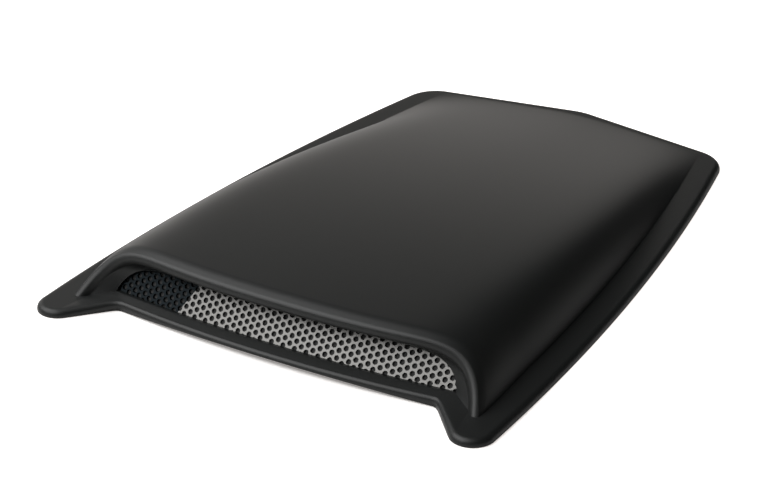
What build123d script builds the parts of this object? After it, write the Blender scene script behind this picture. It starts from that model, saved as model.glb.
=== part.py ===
"""Bonnet scoop: a thermoformed shell with a perforated grille in its mouth and mounting tape below.

The mouth faces -Y, +X is to the right seen from above, +Z is up, and the rim stands on Z = 0.
"""

import math
import os

from build123d import *

# Plan of the rim
overall_length = 692.0
front_half_width = 251.5
rear_half_width = 188.0
side_bow = 19.0
rear_point = 33.0
rear_corner_radius = 30.0
rear_point_radius = 60.0
ear_radius = 22.0
lip_setback = 35.0
lip_bow = 12.0
lip_half_width = 178.0
lip_corner_radius = 10.0

# Sheet and flange
wall = 3.0
flange_height = 7.5
flange_roll = 6.5
flange_width = 29.0
rear_flange_width = 15.0

# Dome
dome_height = 60.0
dome_fall = 1.15
dome_crown = 0.03
front_squareness = 14.0
rear_squareness = 5.0

# Mouth, a leaning and bowed recess with the slot for the grille at its end
mouth_lean = 35.0
mouth_bow = 12.0
mouth_setback = 14.5
mouth_sill_height = 11.0
slot_half_width = 190.0
slot_height = 26.0
slot_corner_radius = 24.0
frame_margin = 9.0
sill_start = 8.0
sill_half_width = 214.0

# Brow, the rolled edge round the mouth
brow_depth = 25.2
brow_half_width = 226.0
brow_step = 1.0
brow_overlap = 10.0
band_run = 8.0
band_drop = 4.3
brow_round = 2.5
recess_half_width = 213.0
recess_height = 50.0
recess_corner_radius = 30.0
recess_end_half_width = 193.0
recess_end_height = 41.0

# Grille
sheet_thickness = 1.5
hole_pitch = 7.3
hole_across = 5.0
grille_inset = 1.0
columns_per_strip = 6

# Mounting tape
tape_width = 10.0
tape_edge = 8.0
tape_end_gap = 20.0

front = -overall_length / 2
rear = overall_length / 2
side_front = front + ear_radius
side_rear = rear - rear_point
rear_slope = rear_point / rear_half_width
lip_middle = front + lip_setback
lip_end = lip_middle + lip_bow
foot_embed = wall / 3
foot_height = flange_height - foot_embed
rear_tip = rear + rear_point_radius * (math.hypot(1, rear_slope) - 1)
dome_end = rear - rear_flange_width
lean = math.radians(mouth_lean)
mouth_up = Vector(0, math.sin(lean), math.cos(lean))
mouth_out = Vector(0, -math.cos(lean), math.sin(lean))
mouth_foot = lip_middle + mouth_setback
column_step = hole_pitch * math.sqrt(3) / 2
columns = math.floor(slot_half_width / column_step)
crease_depth = brow_depth - band_run
frame_depth = wall / math.cos(lean)
frame_half_width = slot_half_width + frame_margin
grille_depth = frame_depth + sheet_thickness / math.cos(lean)
tall = 2 * dome_height
dome_shares = (0.1, 0.25, 0.42, 0.6, 0.78, 0.92, 1)


def rim_half_width(y):
    """Half-width of the rim at a place along the length: a straight taper with an even bow."""
    share = (y - side_front) / (side_rear - side_front)
    taper = front_half_width + (rear_half_width - front_half_width) * share
    return taper + 4 * side_bow * share * (1 - share)


def ear_corner():
    """Sharp corner of an ear: its inner edge runs from the lip's end and touches the ear's round tip."""
    across = front_half_width - ear_radius - lip_half_width
    along = lip_end - (front + ear_radius)
    reach = math.hypot(across, along)
    fall = math.atan2(along, across) + math.asin(ear_radius / reach)
    return lip_end - math.tan(fall) * (front_half_width - lip_half_width)


def mouth_place(x, z):
    """Where the face of the grille lies along Y: bowed like the lip and leaning back as it rises."""
    bowed = mouth_foot + mouth_bow * (x / slot_half_width) ** 2
    return bowed + (z - mouth_sill_height) * math.tan(lean)


def arch(half_width, top, squareness):
    """Outline of a crosswise rib: a flat-topped arch from foot to foot, as points in X and Z."""
    shares = (0, 0.35, 0.6, 0.76, 0.87, 0.95, 1)
    points = []
    for share in [-share for share in reversed(shares[1:])] + list(shares):
        rise = (1 - dome_crown * share**2) * (1 - abs(share) ** squareness)
        points.append((half_width * share, foot_height + (top - foot_height) * rise))
    return points


def rib(outline, place):
    """A rib of the skin: a smooth line through an arch's points, set along Y by place(x, z)."""
    with BuildLine() as line:
        Spline(*[(x, place(x, z), z) for x, z in outline])
    return line.wire()


def crease_place(x, z):
    """The front edge of the dome, in step with the mouth."""
    return mouth_place(x, z) - crease_depth


def dome_rib(share, inset):
    """A rib of the dome at a share of the way from the brow's crease to the rear, inset all round."""
    middle = crease_place(0, dome_height)
    middle += (dome_end - middle) * share
    blunt = rear_point_radius / 2

    def place(x, z):
        return middle - rear_slope * share**3 * (math.hypot(x, blunt) - blunt)

    top = foot_height + (dome_height - foot_height) * (1 - share**2) ** dome_fall - inset
    squareness = front_squareness + (rear_squareness - front_squareness) * share
    half_width = rim_half_width(middle) - flange_width
    for _ in range(4):
        half_width = rim_half_width(place(half_width, 0)) - flange_width
    return rib(arch(half_width - inset, top, squareness), place)


def dome_block(inset, bottom):
    """Everything under the dome's skin, inset all round, down to a level."""
    crease_rib = rib(arch(brow_half_width - inset, dome_height - inset, front_squareness), crease_place)
    skin = Shell.make_loft([crease_rib] + [dome_rib(share, inset) for share in dome_shares])
    with BuildPart() as block:
        extrude(skin.faces()[0], amount=tall, dir=(0, 0, -1))
        with BuildSketch(Plane.XY.offset(bottom)):
            Rectangle(2 * front_half_width, 2 * overall_length)
        extrude(amount=tall, mode=Mode.INTERSECT)
    return block.part


def mouth_block(near, far):
    """A leaning, bowed slab: everything between two depths along Y behind the face of the grille."""
    half = front_half_width
    bow = mouth_place(half, 0) - mouth_place(0, 0)
    across = Plane((0, mouth_foot, mouth_sill_height), x_dir=(1, 0, 0), z_dir=mouth_up)
    with BuildPart() as block:
        with BuildSketch(across.offset(-2 * dome_height)):
            with BuildLine():
                for depth in (near, far):
                    middle = depth * math.cos(lean)
                    end = (depth + bow) * math.cos(lean)
                    ThreePointArc((-half, end), (0, middle), (half, end))
                for side in (-half, half):
                    Line((side, (near + bow) * math.cos(lean)), (side, (far + bow) * math.cos(lean)))
            make_face()
        extrude(amount=5 * dome_height)
    return block.part


def arch_prism(half_width, top):
    """The mouth's arch, run along Y."""
    with BuildPart() as prism:
        with BuildSketch(Plane.XZ.offset(-front)):
            with BuildLine():
                outline = arch(half_width, top, front_squareness)
                Spline(*outline)
                Line(outline[-1], outline[0])
            make_face()
        extrude(amount=4 * brow_depth, dir=(0, 1, 0))
    return prism.part


def recess_section(depth, grow):
    """The recess at a depth behind the middle of the grille's face, as a leaning rounded oblong."""
    share = (depth + brow_depth) / brow_depth
    half_width = recess_half_width + (recess_end_half_width - recess_half_width) * share + grow
    top = recess_height + (recess_end_height - recess_height) * share + grow
    leaning = Plane((0, mouth_place(0, 0) + depth, 0), x_dir=(1, 0, 0), z_dir=mouth_out)
    with BuildSketch(leaning) as section:
        Rectangle(2 * half_width, top / math.cos(lean), align=(Align.CENTER, Align.MIN))
        fillet(section.vertices().group_by(Axis.Y)[-1], radius=recess_corner_radius)
    return section.sketch


def recess(grow):
    """The recess from in front of the brow to behind the grille, grown all round."""
    with BuildPart() as block:
        add(recess_section(-2 * brow_depth, grow))
        add(recess_section(brow_depth, grow))
        loft(ruled=True)
    return block.part



def on_brow_front(edge):
    """Whether an edge runs along the front face of the brow, above its feet."""
    places = [edge @ share for share in (0.05, 0.5, 0.95)]
    level = all(abs(place.Y - mouth_place(place.X, place.Z) + brow_depth) < wall / 6 for place in places)
    return level and max(place.Z for place in places) > foot_height + foot_embed


def slot_outline(grow):
    """The grille's slot in front view, grown all round."""
    with BuildSketch(Plane.XZ.offset(-front)) as outline:
        with Locations((0, mouth_sill_height)):
            Rectangle(2 * slot_half_width, slot_height, align=(Align.CENTER, Align.MIN))
        fillet(outline.vertices().group_by(Axis.Y)[-1], radius=slot_corner_radius)
        if grow:
            offset(amount=grow)
    return outline.sketch


def slot_block(grow, near, far):
    """The slot's outline, grown all round, between two depths behind the face of the grille."""
    with BuildPart() as block:
        add(slot_outline(grow))
        extrude(amount=4 * brow_depth, dir=(0, 1, 0))
        add(mouth_block(near, far), mode=Mode.INTERSECT)
    return block.part


def hole_places(left, right):
    """Centres of the grille's holes between two sides, in staggered columns, inside the slot."""
    places = []
    reach = slot_height / math.cos(lean)
    for column in range(-columns, columns + 1):
        x = column * column_step
        start = hole_pitch / 2 if column % 2 else hole_pitch
        for row in range(math.floor(reach / hole_pitch) + 1):
            up = start + row * hole_pitch
            across = max(0, abs(x) - slot_half_width + slot_corner_radius)
            above = max(0, up * math.cos(lean) - slot_height + slot_corner_radius)
            if left < x < right and math.hypot(across, above) < slot_corner_radius:
                places.append((x, up))
    return places


def grille_strip(left, right):
    """The grille between two sides, with its holes."""
    with BuildPart() as strip:
        add(slot_block(frame_margin - grille_inset, frame_depth, grille_depth))
        with BuildSketch(Plane.XY.offset(-dome_height)):
            with Locations(((left + right) / 2, mouth_foot)):
                Rectangle(right - left, 8 * brow_depth)
        extrude(amount=2 * tall, mode=Mode.INTERSECT)
        with BuildSketch(Plane((0, mouth_foot, mouth_sill_height), x_dir=(1, 0, 0), z_dir=mouth_out)):
            with Locations(*hole_places(left, right)):
                RegularPolygon(hole_across / math.sqrt(3), 6)
        extrude(amount=4 * mouth_bow, both=True, mode=Mode.SUBTRACT, clean=False)
    return strip.part


def tape_strip(left, right, near, far):
    """A strip of mounting tape under the flange, cut from a band that follows the rim."""
    with BuildSketch() as core:
        add(rim.sketch)
        offset(amount=-tape_edge - tape_width)
    with BuildPart() as strip:
        with BuildSketch():
            add(rim.sketch)
            offset(amount=-tape_edge)
            add(core.sketch, mode=Mode.SUBTRACT)
            with Locations(((left + right) / 2, (near + far) / 2)):
                Rectangle(right - left, far - near, mode=Mode.INTERSECT)
        extrude(amount=flange_height - wall)
    return strip.part


with BuildSketch() as rim:
    with BuildLine():
        for side in (-1, 1):
            ear = (side * rim_half_width(ear_corner()), ear_corner())
            corner = (side * rear_half_width, side_rear)
            Line((side * lip_half_width, lip_end), ear)
            ThreePointArc(ear, (side * rim_half_width(0), 0), corner)
            Line(corner, (0, rear_tip))
        ThreePointArc((-lip_half_width, lip_end), (0, lip_middle), (lip_half_width, lip_end))
    make_face()
    fillet(rim.vertices().sort_by(Axis.Y)[:2], radius=ear_radius)
    fillet(rim.vertices().filter_by(lambda v: abs(v.Y - lip_end) < 0.01), radius=lip_corner_radius)
    fillet(rim.vertices().filter_by(lambda v: abs(v.Y - side_rear) < 0.01), radius=rear_corner_radius)
    fillet(rim.vertices().sort_by(Axis.Y)[-1], radius=rear_point_radius)

# Everything in front of the back face of the mouth frame
mouth_side = mouth_block(front, frame_depth)

# Underside of the flange, inside its rolled edge
with BuildPart() as channel:
    with BuildSketch():
        add(rim.sketch)
        offset(amount=-wall)
    extrude(amount=flange_height - wall)
    fillet(channel.edges().group_by(Axis.Z)[-1], radius=flange_roll - wall)

# Floor of the mouth, rising from the lip to the grille
with BuildPart() as sill:
    with BuildSketch():
        with BuildLine():
            bow = lip_bow * (sill_half_width / lip_half_width) ** 2
            for setback in (sill_start, mouth_setback + frame_margin):
                edge = lip_middle + setback
                ThreePointArc((-sill_half_width, edge + bow), (0, edge), (sill_half_width, edge + bow))
            for side in (-sill_half_width, sill_half_width):
                edge = lip_middle + bow
                Line((side, edge + sill_start), (side, edge + mouth_setback + frame_margin))
        make_face()
    extrude(amount=mouth_sill_height)
    chamfer(
        sill.edges().group_by(Axis.Z)[-1].sort_by(Axis.Y)[0],
        length=mouth_sill_height - foot_height,
        length2=mouth_setback - sill_start,
        reference=sill.faces().sort_by(Axis.Y)[0],
    )
    add(mouth_side, mode=Mode.INTERSECT)

# Brow: a sloping band round the arch, a rounded front and the way into the recess
with BuildPart() as brow:
    add(arch_prism(brow_half_width - brow_step, dome_height - brow_step))
    add(mouth_block(-brow_depth, brow_overlap - crease_depth), mode=Mode.INTERSECT)
    arches = brow.edges().filter_by(lambda edge: (edge @ 0.5).Z > dome_height / 2)
    chamfer(
        arches.sort_by(lambda edge: (edge @ 0.5).Y)[0],
        length=band_run,
        length2=band_drop,
        reference=brow.faces().sort_by(Axis.Z)[-1],
    )
    add(recess(0), mode=Mode.SUBTRACT)
    fillet(brow.edges().filter_by(on_brow_front), radius=brow_round)

# Walls of the recess, which stay when the shell is hollowed
with BuildPart() as recess_wall:
    add(recess(wall))
    add(mouth_side, mode=Mode.INTERSECT)

# Opening in the floor behind the grille
with BuildPart() as hollow:
    with BuildSketch(Plane.XY.offset(-wall)):
        with Locations((0, front)):
            reach = crease_place(0, dome_height) + brow_overlap - front
            Rectangle(2 * (frame_half_width + wall), 2 * reach)
    extrude(amount=wall + mouth_sill_height)
    add(mouth_side, mode=Mode.SUBTRACT)

# Hollow of the shell, open below
with BuildPart() as inside:
    add(arch_prism(brow_half_width - brow_step - wall, dome_height - brow_step - wall))
    add(mouth_block(frame_depth - brow_depth, wall + brow_overlap - crease_depth), mode=Mode.INTERSECT)
    add(dome_block(wall, flange_height - wall))
    add(recess_wall.part, mode=Mode.SUBTRACT)
    add(hollow.part)

with BuildPart() as hood:
    add(dome_block(0, foot_height - foot_embed))
    add(recess(0), mode=Mode.SUBTRACT)
    add(brow.part)

with BuildPart() as shell:
    with BuildSketch():
        add(rim.sketch)
    extrude(amount=flange_height)
    fillet(shell.edges().group_by(Axis.Z)[-1], radius=flange_roll)
    add(hood.part)
    add(channel.part, mode=Mode.SUBTRACT)
    add(inside.part, mode=Mode.SUBTRACT)
    add(sill.part)
    add(slot_block(frame_margin, 0, frame_depth))
    add(slot_block(0, -wall, 2 * wall + frame_depth), mode=Mode.SUBTRACT)

# Grille, punched in strips that meet midway between columns of holes
edges = [(column - 0.5) * column_step for column in range(-columns, columns + 1, columns_per_strip)]
edges[0] = -frame_half_width
edges.append(frame_half_width)
with BuildPart() as grille:
    for left, right in zip(edges[:-1], edges[1:]):
        add(grille_strip(left, right), clean=False)

tape_front = side_front + 2 * ear_radius + tape_end_gap
tape_rear = side_rear - rear_corner_radius
tape_left = tape_strip(-2 * front_half_width, 0, tape_front, tape_rear)
tape_right = tape_strip(0, 2 * front_half_width, tape_front, tape_rear)
rear_reach = rear_half_width - rear_corner_radius - tape_end_gap
tape_rear_left = tape_strip(-rear_reach, -tape_end_gap, tape_rear, rear)
tape_rear_right = tape_strip(tape_end_gap, rear_reach, tape_rear, rear)

os.makedirs("parts", exist_ok=True)
shell.part.label = "scoop_shell"
export_step(shell.part, "parts/scoop_shell.step")
grille.part.label = "grille"
export_step(grille.part, "parts/grille.step")
tape_left.label = "mounting_tape_left"
export_step(tape_left, "parts/mounting_tape_left.step")
tape_right.label = "mounting_tape_right"
export_step(tape_right, "parts/mounting_tape_right.step")
tape_rear_left.label = "mounting_tape_rear_left"
export_step(tape_rear_left, "parts/mounting_tape_rear_left.step")
tape_rear_right.label = "mounting_tape_rear_right"
export_step(tape_rear_right, "parts/mounting_tape_rear_right.step")
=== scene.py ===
import math

import bpy
import numpy as np
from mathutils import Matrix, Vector
from mathutils.geometry import delaunay_2d_cdt


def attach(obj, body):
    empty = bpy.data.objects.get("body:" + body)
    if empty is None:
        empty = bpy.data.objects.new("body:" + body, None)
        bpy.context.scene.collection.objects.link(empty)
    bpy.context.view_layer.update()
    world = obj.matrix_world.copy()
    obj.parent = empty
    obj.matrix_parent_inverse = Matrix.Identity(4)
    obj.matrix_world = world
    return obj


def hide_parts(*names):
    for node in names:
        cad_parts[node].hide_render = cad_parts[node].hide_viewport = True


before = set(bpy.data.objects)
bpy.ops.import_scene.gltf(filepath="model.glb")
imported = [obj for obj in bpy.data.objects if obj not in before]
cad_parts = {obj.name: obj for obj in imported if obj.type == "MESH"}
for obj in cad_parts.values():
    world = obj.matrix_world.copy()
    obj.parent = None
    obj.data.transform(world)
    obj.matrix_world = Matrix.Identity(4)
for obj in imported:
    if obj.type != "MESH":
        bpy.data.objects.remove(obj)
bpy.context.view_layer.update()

# Scoop shell: one sheet of black ABS, vacuum-formed over a tool and trimmed along the rim.
# Its edge rolls down to the bonnet and its brow folds back into the mouth. It is open below.
# Sizes are in millimetres until the mesh is made.
millimetre = 0.001
sheet_wall = 3.0

rim_front = -346.0
rim_rear = 346.0
front_half_width = 251.5
rear_half_width = 188.0
side_bow = 18.6
rear_point = 33.0
ear_radius = 22.0
rear_corner_radius = 40.0
rear_point_radius = 60.0
side_front = rim_front + ear_radius
side_rear = rim_rear - rear_point

lip_setback = 35.0
lip_middle = rim_front + lip_setback
lip_bow = 12.0
lip_half_width = 178.0
lip_corner_radius = 10.0
lip_height = 9.2
lip_roll = 4.4
lip_gap = 4.8

flange_height = 7.5
flange_roll = 6.5
flange_width = 29.0
rear_flange_width = 15.0

dome_height = 60.0
dome_end = rim_rear - rear_flange_width
dome_fall = 1.15
dome_crown = 0.03
dome_point_power = 3
front_squareness = 10.6
middle_squareness = 12.6
rear_squareness = 5.0
squarest_share = 0.45

mouth_setback = 14.5
mouth_foot = lip_middle + mouth_setback
mouth_lean = math.radians(35.0)
mouth_bow = 12.0
sill_height = 11.0
slot_half_width = 190.0
slot_top = 38.5
slot_squareness = 12.0
slot_roundness = 0.714
slot_depth = 3.6

brow_start = -275.0
brow_half_width = 226.0
brow_foot_spread = 3.0
crease_radius = 25.0
band_length = 4.2
band_slope = math.radians(21.0)
nose_radius = 6.5
nose_start_half_width = 225.0
nose_end_half_width = 212.0
return_slope = math.radians(150.0)
corner_sweep = 18.0
corner_sweep_power = 4
lean_fades_by = 0.12

# Fineness of the shell's grid
lip_points = 80
lip_corner_points = 14
ear_points = 40
side_points = 240
rear_corner_points = 24
rear_tip_points = 21
crease_steps = 10
band_steps = 4
nose_steps = 20
return_steps = 10
dome_front_rows = 17
dome_middle_rows = 64
dome_rear_rows = 17
dome_rear_begins_at = 0.9
rib_points = 145
rib_digits = 12
slot_points = 60
roll_rows = 12
flange_top_rows = 12
weld_digits = 3
sharp_angle = math.radians(35.0)

# Where the runs of the rim start and stop, and which of its places face the corners of the skin's foot
lip_trim = 7.0
side_front_trim = 3.0
side_rear_trim = 2.0
rear_sight = 30.0
foot_rounds = 4
side_facing_point = 8
rear_facing_point = 17
crease_facing_row = 3


def rim_half_width(y):
    """Half-width of the rim along its side: a straight taper, plus a parabola with the bow's height."""
    share = (y - side_front) / (side_rear - side_front)
    taper = front_half_width + (rear_half_width - front_half_width) * share
    return taper + 4 * side_bow * share * (1 - share)


def mouth_place(x, z):
    """Y of the grille's face: the bow grows with the square of X, and the lean grows with the height."""
    return mouth_foot + mouth_bow * (x / slot_half_width) ** 2 + (z - sill_height) * math.tan(mouth_lean)


def rounded_corner(before, corner, after, radius, count):
    """Arc that rounds a corner between two straight runs, as points from the first run to the second.

    Its centre lies on the corner's bisector, at the radius over the sine of half the corner's angle.
    """
    first = (before - corner) / np.linalg.norm(before - corner)
    second = (after - corner) / np.linalg.norm(after - corner)
    half = math.acos(np.clip(first @ second, -1, 1)) / 2
    middle = (first + second) / np.linalg.norm(first + second)
    centre = corner + middle * radius / math.sin(half)
    start = corner + first * radius / math.tan(half) - centre
    end = corner + second * radius / math.tan(half) - centre
    turn = math.atan2(start[0] * end[1] - start[1] * end[0], start @ end)
    angles = np.linspace(0, turn, count)
    x = start[0] * np.cos(angles) - start[1] * np.sin(angles)
    y = start[0] * np.sin(angles) + start[1] * np.cos(angles)
    return centre + np.stack([x, y], 1)


def half_rim():
    """Right half of the rim from the lip's middle to the rear point, and the index of each facing place.

    The lip is an arc, the ear's inner edge runs from the lip's end to touch the ear's round tip, the side
    is the bowed taper, the rear edge is straight, and arcs round the corners between them.
    """
    lip_end = lip_middle + lip_bow
    lip_radius = (lip_half_width**2 + lip_bow**2) / (2 * lip_bow)
    x = np.linspace(0, lip_half_width - lip_trim, lip_points)
    lip = np.stack([x, lip_middle + lip_radius - np.sqrt(lip_radius**2 - x**2)], 1)
    across = front_half_width - ear_radius - lip_half_width
    along = lip_end - side_front
    fall = math.atan2(along, across) + math.asin(ear_radius / math.hypot(across, along))
    inner = np.array([lip_half_width, lip_end])
    tip_y = lip_end - math.tan(fall) * (front_half_width - lip_half_width)
    tip = np.array([front_half_width, tip_y])
    lip_corner = rounded_corner(lip[-1], inner, tip, lip_corner_radius, lip_corner_points)
    ear = rounded_corner(inner, tip, np.array([front_half_width, side_rear]), ear_radius, ear_points)
    corner = np.array([rear_half_width, side_rear])
    back_y = corner[1] - rear_sight
    back = np.array([rim_half_width(back_y), back_y])
    point = np.array([0, rim_rear + rear_point_radius * (math.hypot(1, rear_point / rear_half_width) - 1)])
    rear_corner = rounded_corner(back, corner, point, rear_corner_radius, rear_corner_points)
    y = np.linspace(side_front + side_front_trim, rear_corner[0, 1] - side_rear_trim, side_points)
    side = np.stack([rim_half_width(y), y], 1)
    rear_tip = rounded_corner(corner, point, corner * [-1, 1], rear_point_radius, rear_tip_points)
    runs = [lip, lip_corner, ear, side, rear_corner, rear_tip[: rear_tip_points // 2 + 1]]
    places = np.cumsum([0] + [len(run) for run in runs])
    facing = [
        0,
        places[1] + lip_corner_points // 2,
        places[2] + ear_points // 2,
        places[3] + side_facing_point,
        places[4] + rear_facing_point,
        places[6] - 1,
    ]
    return np.concatenate(runs), facing


def rib(half_width, top, base, squareness, roundness, shares):
    """X and Z of a crosswise rib: a flat-topped arch from foot to foot, with a slight crown.

    It falls from its top by the share of the half-width to the power of the squareness.
    """
    rise = (1 - dome_crown * shares**2) * (1 - np.abs(shares) ** squareness) ** roundness
    return half_width * shares, base + (top - base) * rise


def brow_profile():
    """Middle section of the brow from the dome to the slot, and the index where each part ends.

    It is an arc for the crease, a straight band, an arc for the nose and a straight return.
    """
    points = [np.array([[brow_start, dome_height]])]

    def arc(radius, first, last, count):
        angle = np.linspace(first, last, count + 1)[1:]
        centre = points[-1][-1] + radius * np.array([math.sin(first), -math.cos(first)])
        points.append(centre - radius * np.stack([np.sin(angle), -np.cos(angle)], 1))

    def straight(end, count):
        share = np.linspace(0, 1, count + 1)[1:, None]
        points.append(points[-1][-1] * (1 - share) + np.array(end) * share)

    arc(crease_radius, 0, band_slope, crease_steps)
    band_end = points[-1][-1] - band_length * np.array([math.cos(band_slope), math.sin(band_slope)])
    straight(band_end, band_steps)
    arc(nose_radius, band_slope, return_slope, nose_steps)
    straight([mouth_place(0, slot_top), slot_top], return_steps)
    ends = np.cumsum([0, crease_steps + band_steps, nose_steps, return_steps])
    return np.concatenate(points), ends


def run_length(points):
    """Length along a line of points, from its start to each point."""
    return np.concatenate([[0], np.cumsum(np.linalg.norm(np.diff(points, axis=0), axis=1))])


def skin_rows(shares):
    """Rows of the shell's skin from the back of the slot over the brow and along the dome to the rear.

    Each row is a rib. The brow's ribs bow and lean with the mouth, and sweep back at their corners by a
    power of X. Along the dome the lean fades out, the top falls by a power of the way along, the
    squareness follows a parabola, and the ribs come to a shallow point like the rim's.
    """
    profile, ends = brow_profile()
    run = run_length(profile)
    key_half_widths = [brow_half_width, nose_start_half_width, nose_end_half_width, slot_half_width]
    half_widths = np.interp(run, run[ends], key_half_widths)
    folded = np.clip((run - run[ends[2]]) / (run[ends[3]] - run[ends[2]]), 0, 1)
    rows = []
    for (y, top), half_width, share in zip(profile, half_widths, folded):
        base = flange_height + (sill_height - flange_height) * share
        squareness = front_squareness + (slot_squareness - front_squareness) * share
        x, z = rib(half_width, top, base, squareness, 1 + (slot_roundness - 1) * share, shares)
        sweep = corner_sweep * (1 - share) * shares**corner_sweep_power * (z - base) / (top - base)
        rows.append(np.stack([x, mouth_place(x, z) + y - mouth_place(0, top) + sweep, z], 1))
    slot_back = rows[-1] + [0, slot_depth, 0]
    rows = [slot_back] + rows[::-1]
    x, z = rib(brow_half_width, dome_height, flange_height, front_squareness, 1, shares)
    rise = (z - flange_height) / (dome_height - flange_height)
    lean = mouth_place(x, z) - mouth_place(0, dome_height) + corner_sweep * shares**corner_sweep_power * rise
    rear_slope = rear_point / rear_half_width
    blunt = rear_point_radius / 2
    key_squareness = [front_squareness, middle_squareness, rear_squareness]
    squareness_run = np.polyfit([0, squarest_share, 1], key_squareness, 2)
    front_run = np.linspace(0, lean_fades_by, dome_front_rows)[1:]
    middle_run = np.linspace(lean_fades_by, dome_rear_begins_at, dome_middle_rows)[1:]
    rear_run = np.linspace(dome_rear_begins_at, 1, dome_rear_rows)[1:]
    for share in np.concatenate([front_run, middle_run, rear_run]):
        middle = brow_start + (dome_end - brow_start) * share
        fade = np.clip(share / lean_fades_by, 0, 1)
        fade = fade * fade * (3 - 2 * fade)
        top = flange_height + (dome_height - flange_height) * (1 - share**2) ** dome_fall
        pointed = rear_slope * share**dome_point_power
        half_width = rim_half_width(middle) - flange_width
        for _ in range(foot_rounds):
            foot = middle - pointed * (math.hypot(half_width, blunt) - blunt) + (1 - fade) * lean[-1]
            half_width = rim_half_width(foot) - flange_width + brow_foot_spread * (1 - fade)
        squareness = np.polyval(squareness_run, share)
        x, z = rib(half_width, top, flange_height, squareness, 1, shares)
        y = middle + (1 - fade) * lean - pointed * (np.hypot(x, blunt) - blunt)
        rows.append(np.stack([x, y, z], 1))
    return np.array(rows), ends


def flange_rows(inner, inner_facing):
    """Rows of the flange, from the rim's foot over its rolled edge and in to the foot of the skin.

    The roll is a quarter circle square to the rim, and a straight run joins it to the skin. Towards the
    mouth the edge rises to the lip, whose foot is lifted by a parabola over the lip's width.
    """
    outline, rim_facing = half_rim()
    run = run_length(outline)
    reach = run_length(inner)
    place = np.interp(reach, reach[inner_facing], run[rim_facing])
    rim = np.stack([np.interp(place, run, outline[:, axis]) for axis in (0, 1)], 1)
    slope = np.gradient(outline, run, axis=0)
    along = np.stack([np.interp(place, run, slope[:, axis]) for axis in (0, 1)], 1)
    inward = np.stack([-along[:, 1], along[:, 0]], 1) / np.linalg.norm(along, axis=1)[:, None]
    inward[[0, -1], 0] = 0
    inward /= np.linalg.norm(inward, axis=1)[:, None]
    lift = (inner[:, 2] - flange_height) / (sill_height - flange_height)
    top = flange_height + (lip_height - flange_height) * lift
    roll = (flange_roll + (lip_roll - flange_roll) * lift)[:, None]
    gap = lip_gap * np.maximum(1 - (rim[:, 0] / lip_half_width) ** 2, 0) * (rim[:, 1] < 0)
    rows = [np.column_stack([rim, gap])]
    for angle in np.linspace(0, math.pi / 2, roll_rows):
        offset = roll * (1 - math.cos(angle))
        height = top - roll[:, 0] * (1 - math.sin(angle))
        rows.append(np.column_stack([rim + inward * offset, height]))
    for share in np.linspace(0, 1, flange_top_rows + 1)[1:]:
        rows.append(rows[roll_rows] * (1 - share) + inner * share)
    return np.array(rows)


def grid_faces(rows, columns, start):
    """Four-sided faces of a grid of points that are numbered row by row."""
    index = start + np.arange(rows * columns).reshape(rows, columns)
    corners = [index[:-1, :-1], index[:-1, 1:], index[1:, 1:], index[1:, :-1]]
    return np.stack([corner.ravel() for corner in corners], 1)


def set_out(name, data):
    """An object in the scene that shows a mesh, a lamp or a camera."""
    thing = bpy.data.objects.new(name, data)
    bpy.context.scene.collection.objects.link(thing)
    return thing


def welded_mesh(name, grids):
    """One smooth mesh from several grids of points, joined where their points meet, in metres."""
    points, faces, count = [], [], 0
    for grid in grids:
        faces.append(grid_faces(grid.shape[0], grid.shape[1], count))
        points.append(grid.reshape(-1, 3))
        count += len(points[-1])
    points = np.concatenate(points)
    rounded = np.round(points, weld_digits) + 0.0
    _, first, new = np.unique(rounded, axis=0, return_index=True, return_inverse=True)
    faces = new.reshape(-1)[np.concatenate(faces)]
    data = bpy.data.meshes.new(name)
    data.from_pydata((points[first] * millimetre).tolist(), [], faces.tolist())
    data.polygons.foreach_set("use_smooth", np.ones(len(faces), bool))
    data.set_sharp_from_angle(angle=sharp_angle)
    data.update()
    return set_out(name, data)


def plain_finish(name, colour, roughness):
    """A material of one colour and one roughness, and its shader."""
    finish = bpy.data.materials.new(name)
    finish.use_nodes = True
    shader = finish.node_tree.nodes["Principled BSDF"]
    shader.inputs["Base Color"].default_value = colour
    shader.inputs["Roughness"].default_value = roughness
    return finish, shader


across = np.sin(np.linspace(-math.pi / 2, math.pi / 2, rib_points))
across = np.round(across, rib_digits)
skin, brow_ends = skin_rows(across)
slot_x = np.linspace(0, slot_half_width, slot_points)
slot_edge = np.stack([slot_x, mouth_place(slot_x, sill_height), np.full(slot_points, sill_height)], 1)
foot_line = skin[1:, -1]
rear_line = skin[-1, ::-1][: rib_points // 2 + 1]
inner = np.concatenate([slot_edge, foot_line[1:], rear_line[1:]])
slot_end = len(slot_edge) - 1
nose_foot = slot_end + int(np.argmin(foot_line[:, 1]))
crease_foot = slot_end + brow_ends[3] + crease_facing_row
rear_foot = slot_end + len(foot_line) - 1
right_flange = flange_rows(inner, [0, slot_end, nose_foot, crease_foot, rear_foot, len(inner) - 1])
left_flange = right_flange[:, ::-1] * [-1, 1, 1]
right_slot_floor = np.stack([slot_edge, slot_edge + [0, slot_depth, 0]])
left_slot_floor = right_slot_floor[:, ::-1] * [-1, 1, 1]
shell = welded_mesh("scoop_shell_skin", [skin, right_flange, left_flange, right_slot_floor, left_slot_floor])
thickness = shell.modifiers.new("sheet", "SOLIDIFY")
thickness.thickness = sheet_wall * millimetre
thickness.offset = -1.0

plastic_colour = (0.008, 0.0088, 0.0085, 1)
plastic_roughness = 0.45
plastic_shine = 0.38
plastic, surface = plain_finish("black ABS", plastic_colour, plastic_roughness)
surface.inputs["Specular IOR Level"].default_value = plastic_shine
shell.data.materials.append(plastic)
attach(shell, "root")
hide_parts("scoop_shell")

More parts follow.
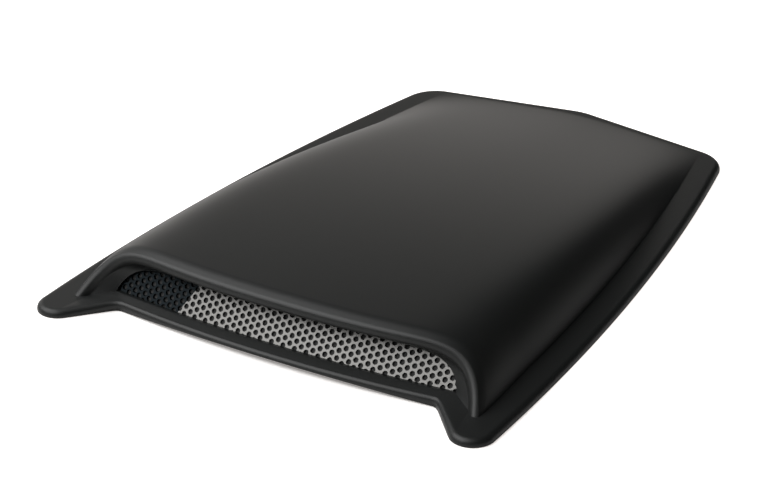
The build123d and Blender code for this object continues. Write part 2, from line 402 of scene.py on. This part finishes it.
# Grille: one sheet of satin aluminium, punched with staggered round holes and bent to the mouth's bow.
# It is bonded behind the slot, so its outer holes are partly covered. Its left end is dark.
hole_pitch = 7.39
hole_radius = 2.7
hole_sides = 18
hole_margin = 2.2
lattice_turn = math.radians(-0.77)
lattice_x = 21.4
lattice_up = 15.8
lattice_columns = 80
lattice_rows = 12
grille_thickness = 1.5
grille_margin = 8.0
grille_top_margin = 7.0
glue_gap = 0.05
slot_rise = (slot_top - sill_height) / math.cos(mouth_lean)
slot_corner = 28.0
sheet_corner_points = 16
sheet_floor_points = 40
sheet_top_points = 34
triangles_inside_borders = 1
smallest_side = 1e-5
in_hole_share = 0.97


def slot_distance(x, up):
    """How far a place on the sheet lies outside the slot's rounded oblong, or inside if negative."""
    aside = np.maximum(np.abs(x) - (slot_half_width - slot_corner), 0)
    above = np.maximum(up - (slot_rise - slot_corner), 0)
    rounded = np.hypot(aside, above) - slot_corner
    return np.maximum(rounded, -up)


def hole_centres():
    """Centres of the punched holes: a turned staggered lattice, kept where it shows in the slot.

    Every second column is half a pitch higher, and the columns are half the root of three of a pitch
    apart. The sheet is bent square to its leaning face, so its rows droop with the square of X.
    """
    columns = np.arange(-lattice_columns, lattice_columns + 1)
    rows = np.arange(-lattice_rows, lattice_rows + 1)
    column, row = np.meshgrid(columns, rows, indexing="ij")
    aside = column * hole_pitch * math.sqrt(3) / 2
    above = (row + 0.5 * (column % 2)) * hole_pitch
    x = lattice_x + aside * math.cos(lattice_turn) - above * math.sin(lattice_turn)
    up = lattice_up + aside * math.sin(lattice_turn) + above * math.cos(lattice_turn)
    up = up - mouth_bow * math.sin(mouth_lean) * (x / slot_half_width) ** 2
    kept = slot_distance(x, up) < hole_margin
    return np.stack([x[kept], up[kept]], 1)


def sheet_place(flat, depth):
    """A place on the bowed sheet, from its flat place and its depth behind the grille's face."""
    z = sill_height + flat[:, 1] * math.cos(mouth_lean)
    y = mouth_place(flat[:, 0], z) + depth
    return np.stack([flat[:, 0], y, z], 1)


def sheet_outline():
    """Edge of the sheet: an oblong with rounded top corners, a margin larger than the slot."""
    half = slot_half_width + grille_margin
    high = slot_rise + grille_top_margin
    radius = slot_corner + grille_margin
    turn = np.linspace(0, math.pi / 2, sheet_corner_points)
    corner = np.stack([half - radius + radius * np.cos(turn), high - radius + radius * np.sin(turn)], 1)
    floor_x = np.linspace(-half, half, sheet_floor_points)
    floor_edge = np.stack([floor_x, np.full(len(floor_x), -grille_margin)], 1)
    top_x = np.linspace(half - radius, radius - half, sheet_top_points)[1:-1]
    top_edge = np.stack([top_x, np.full(len(top_x), high)], 1)
    return np.concatenate([floor_edge, corner, top_edge, corner[::-1] * [-1, 1]])


centres = hole_centres()
turn = np.linspace(0, 2 * math.pi, hole_sides, endpoint=False)
circle = hole_radius * np.stack([np.cos(turn), np.sin(turn)], 1)
loops = [sheet_outline()] + [centre + circle for centre in centres]
starts = np.cumsum([0] + [len(loop) for loop in loops])
borders = [
    (start + step, start + (step + 1) % len(loop))
    for start, loop in zip(starts, loops)
    for step in range(len(loop))
]
flat = [Vector(place) for place in np.concatenate(loops)]
cut = delaunay_2d_cdt(flat, borders, [], triangles_inside_borders, smallest_side)
points = np.array([tuple(point) for point in cut[0]])
triangles = np.array(cut[2])
middles = points[triangles].mean(1)
in_hole = np.zeros(len(middles), bool)
for centre in centres:
    in_hole |= np.hypot(*(middles - centre).T) < hole_radius * in_hole_share
triangles = triangles[~in_hole]
sides = np.concatenate([triangles[:, [0, 1]], triangles[:, [1, 2]], triangles[:, [2, 0]]])
_, found, count = np.unique(np.sort(sides, axis=1), axis=0, return_inverse=True, return_counts=True)
edge = sides[count[found.reshape(-1)] == 1]
near = slot_depth + glue_gap
far = near + grille_thickness / math.cos(mouth_lean)
sheet = np.concatenate([sheet_place(points, near), sheet_place(points, far)])
total = len(points)
walls = np.stack([edge[:, 0], edge[:, 0] + total, edge[:, 1] + total, edge[:, 1]], 1)
sheet_faces = triangles.tolist() + (triangles[:, ::-1] + total).tolist() + walls.tolist()
grille_data = bpy.data.meshes.new("grille_sheet")
grille_data.from_pydata((sheet * millimetre).tolist(), [], sheet_faces)
grille_data.update()
grille = set_out("grille_sheet", grille_data)

metal_colour = (0.23, 0.226, 0.219, 1)
metal_roughness = 0.5
dark_end_colour = (0.012, 0.015, 0.017, 1)
dark_end_edge = -120.5
dark_end_slant = -0.59

# Sockets of a node that mixes two colours
first_colour = 6
second_colour = 7
mixed_colour = 2


def value_node(nodes, operation):
    """A node that works out one value from others."""
    node = nodes.new("ShaderNodeMath")
    node.operation = operation
    return node


metal, surface = plain_finish("satin aluminium", metal_colour, metal_roughness)
surface.inputs["Metallic"].default_value = 1.0
nodes, links = metal.node_tree.nodes, metal.node_tree.links
place = nodes.new("ShaderNodeTexCoord")
axes = nodes.new("ShaderNodeSeparateXYZ")
links.new(place.outputs["Object"], axes.inputs[0])
slant = value_node(nodes, "MULTIPLY_ADD")
slant.inputs[1].default_value = dark_end_slant
links.new(axes.outputs["Z"], slant.inputs[0])
links.new(axes.outputs["X"], slant.inputs[2])
dark_end = value_node(nodes, "LESS_THAN")
dark_end.inputs[1].default_value = dark_end_edge * millimetre
links.new(slant.outputs[0], dark_end.inputs[0])
tone = nodes.new("ShaderNodeMix")
tone.data_type = "RGBA"
tone.inputs[first_colour].default_value = metal_colour
tone.inputs[second_colour].default_value = dark_end_colour
links.new(dark_end.outputs[0], tone.inputs[0])
links.new(tone.outputs[mixed_colour], surface.inputs["Base Color"])
grille.data.materials.append(metal)
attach(grille, "root")
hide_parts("grille")

# Grille backing: a black film as large as the sheet, bonded behind it,
# so that the holes end on it and no daylight shows through.
film_gap = 0.9
film_rings = 9
film_edge = sheet_outline()
film_middle = film_edge * [1, 0] + [0, slot_rise / 2]
film_across = np.linspace(0, 1, film_rings)[:, None, None]
film_flat = film_middle * (1 - film_across) + film_edge * film_across
film_flat = np.concatenate([film_flat, film_flat[:, :1]], 1)
film_places = sheet_place(film_flat.reshape(-1, 2), far + film_gap).reshape(film_flat.shape[:2] + (3,))
film = welded_mesh("grille_backing", [film_places])
film_colour = (0.02, 0.02, 0.02, 1)
film_roughness = 0.6
film_shine = 0.3
black_film, surface = plain_finish("black film", film_colour, film_roughness)
surface.inputs["Specular IOR Level"].default_value = film_shine
film.data.materials.append(black_film)
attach(film, "root")

# Mounting tape: black acrylic foam strips, stuck under the flange along its sides and rear.
# They are as in the solids and only get their finish here.
foam_colour = (0.02, 0.02, 0.02, 1)
foam_roughness = 0.9
tape_strips = ["mounting_tape_left", "mounting_tape_right"]
tape_strips += ["mounting_tape_rear_left", "mounting_tape_rear_right"]
foam, _ = plain_finish("foam tape", foam_colour, foam_roughness)
for name in tape_strips:
    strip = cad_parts[name]
    strip.data.materials.clear()
    strip.data.materials.append(foam)

# Floor: a plain white table, lit, with a painted glow that makes it read as paper white. Just in front of
# the lip the painted glow is weaker, so the real shadow under the lip shows there as a soft shade.
# Under the shell lies a dark patch, so that the hollow under the shell stays in shade.
floor_reach = 40.0
floor_drop = 0.0004
floor_corners = [(-floor_reach, -floor_reach, 0), (floor_reach, -floor_reach, 0)]
floor_corners += [(floor_reach, floor_reach, 0), (-floor_reach, floor_reach, 0)]
floor_data = bpy.data.meshes.new("floor")
floor_data.from_pydata(floor_corners, [], [(0, 1, 2, 3)])
floor = set_out("floor", floor_data)
floor.location.z = -floor_drop

shade_share = 0.965
shade_drop = 0.0002
shade_colour = (0.02, 0.02, 0.02, 1)
shade_roughness = 1.0
right_outline, _ = half_rim()
shade_outline = np.concatenate([right_outline, right_outline[-2:0:-1] * [-1, 1]]) * shade_share
shade_points = np.column_stack([shade_outline, np.zeros(len(shade_outline))]) * millimetre
shade_data = bpy.data.meshes.new("floor_shade")
shade_data.from_pydata(shade_points.tolist(), [], [tuple(range(len(shade_points)))])
shade = set_out("floor_shade", shade_data)
shade.location.z = -shade_drop
shaded, _ = plain_finish("table in shade", shade_colour, shade_roughness)
shade.data.materials.append(shaded)

# Painted glow of the table: it falls from far_glow to near_glow close to the lip's middle, which leaves the
# lip's real shadow showing there.
near_reach = 0.06
far_reach = 0.2
near_glow = 0.25
far_glow = 1.0
mirrored_glow = 0.15
lip_shade_stretch = (0.5, 1, 1)
table_glow_colour = (1.0, 0.95, 0.92, 1)
table_colour = (0.9, 0.89, 0.88, 1)
paper = bpy.data.materials.new("white table")
paper.use_nodes = True
nodes, links = paper.node_tree.nodes, paper.node_tree.links
nodes.clear()
output = nodes.new("ShaderNodeOutputMaterial")
glow = nodes.new("ShaderNodeEmission")
glow.inputs["Color"].default_value = table_glow_colour
matt = nodes.new("ShaderNodeBsdfDiffuse")
matt.inputs["Color"].default_value = table_colour
path = nodes.new("ShaderNodeLightPath")
mirrored = value_node(nodes, "MULTIPLY")
mirrored.inputs[1].default_value = mirrored_glow
links.new(path.outputs["Is Glossy Ray"], mirrored.inputs[0])
eye = value_node(nodes, "MAXIMUM")
links.new(path.outputs["Is Camera Ray"], eye.inputs[0])
links.new(mirrored.outputs[0], eye.inputs[1])
seen = value_node(nodes, "MAXIMUM")
links.new(eye.outputs[0], seen.inputs[0])
links.new(path.outputs["Is Transmission Ray"], seen.inputs[1])
place = nodes.new("ShaderNodeTexCoord")
lip_shade = nodes.new("ShaderNodeMapping")
lip_shade.inputs["Location"].default_value = (0, -lip_middle * millimetre, 0)
lip_shade.inputs["Scale"].default_value = lip_shade_stretch
links.new(place.outputs["Object"], lip_shade.inputs["Vector"])
reach = nodes.new("ShaderNodeVectorMath")
reach.operation = "LENGTH"
links.new(lip_shade.outputs["Vector"], reach.inputs[0])
level = nodes.new("ShaderNodeMapRange")
level.interpolation_type = "SMOOTHSTEP"
level.inputs["From Min"].default_value = near_reach
level.inputs["From Max"].default_value = far_reach
level.inputs["To Min"].default_value = near_glow
level.inputs["To Max"].default_value = far_glow
links.new(reach.outputs["Value"], level.inputs["Value"])
strength = value_node(nodes, "MULTIPLY")
links.new(seen.outputs[0], strength.inputs[0])
links.new(level.outputs["Result"], strength.inputs[1])
links.new(strength.outputs[0], glow.inputs["Strength"])
both = nodes.new("ShaderNodeAddShader")
links.new(glow.outputs[0], both.inputs[0])
links.new(matt.outputs[0], both.inputs[1])
links.new(both.outputs[0], output.inputs["Surface"])
floor.data.materials.append(paper)

# Light: a dim room with a low wide window behind and to the left, a large soft one in front and above,
# and a weak fill from the left.
room_colour = (0.04, 0.04, 0.04, 1)
world = bpy.data.worlds.new("studio")
world.use_nodes = True
world.node_tree.nodes["Background"].inputs["Color"].default_value = room_colour
bpy.context.scene.world = world


def aimed(thing, place, aim):
    """Puts a lamp or a camera at a place and turns it towards a point."""
    thing.location = place
    thing.rotation_mode = "QUATERNION"
    thing.rotation_quaternion = (Vector(aim) - thing.location).to_track_quat("-Z", "Y")


def soft_light(name, place, aim, width, height, power, colour):
    """A large soft lamp, aimed at a point."""
    data = bpy.data.lights.new(name, "AREA")
    data.shape = "RECTANGLE"
    data.size = width
    data.size_y = height
    data.energy = power
    data.color = colour
    aimed(set_out(name, data), place, aim)


soft_light(
    "rear window",
    place=(-2.75, 3.2, 0.45),
    aim=(0, 0, 0.1),
    width=4.6,
    height=0.9,
    power=25,
    colour=(1.0, 0.95, 0.91),
)
soft_light(
    "front window",
    place=(-1.2, -1.1, 1.95),
    aim=(0, -0.1, 0),
    width=3.2,
    height=2.2,
    power=90,
    colour=(1.0, 1.0, 1.0),
)
soft_light(
    "left fill",
    place=(-3.2, 0.6, 2.2),
    aim=(0, 0, 0),
    width=4.0,
    height=3.0,
    power=16,
    colour=(1.0, 1.0, 1.0),
)

# Camera: a long lens to the right of the mouth and above it, fitted to the photograph's perspective.
# It has no shift and no depth of field.
camera_place = (1.12423, -1.96664, 1.14184)
camera_target = (-0.02654, -0.05819, 0)
camera_data = bpy.data.cameras.new("camera")
camera_data.lens = 116.73
camera_data.sensor_width = 36.0
camera = set_out("camera", camera_data)
aimed(camera, camera_place, camera_target)
bpy.context.scene.camera = camera
bpy.context.scene.view_settings.view_transform = "Standard"
